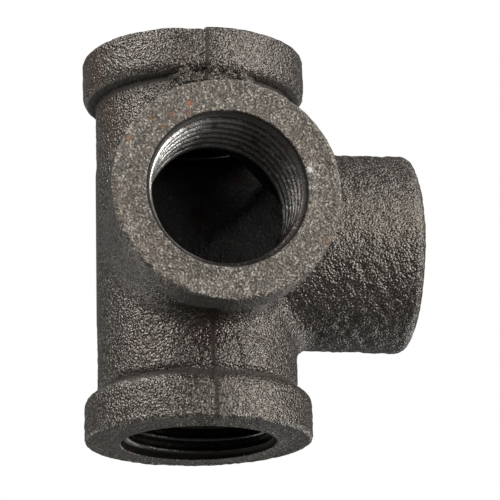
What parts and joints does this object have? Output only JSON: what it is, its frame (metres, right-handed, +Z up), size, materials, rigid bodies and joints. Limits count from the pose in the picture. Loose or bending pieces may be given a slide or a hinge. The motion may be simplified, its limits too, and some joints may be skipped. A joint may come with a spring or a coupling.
{
  "type": "side outlet pipe tee",
  "caption": "Cast side-outlet pipe tee: a banded run with a banded front outlet and a plain side outlet, tapped at every opening.",
  "frame": {"origin": "centre of the bottom opening's face", "axes": "+Z up along the run, -Y out of the front outlet, +X out of the side outlet"},
  "size_m": [0.0472, 0.0457, 0.057],
  "materials": {
    "cast_skin": "rough sand-cast skin, dark grey-brown, dry, with flecks of rust",
    "cut_thread": "machined and oiled, dark grey with a sheen"
  },
  "bodies": {
    "root": {"centre_barrel": "cast_skin", "front_neck": "cast_skin", "side_outlet": "cast_skin", "top_band": "cast_skin", "bottom_band": "cast_skin", "front_band": "cast_skin", "top_thread": "cut_thread", "bottom_thread": "cut_thread", "front_thread": "cut_thread", "side_thread": "cut_thread"}
  },
  "joints": []
}
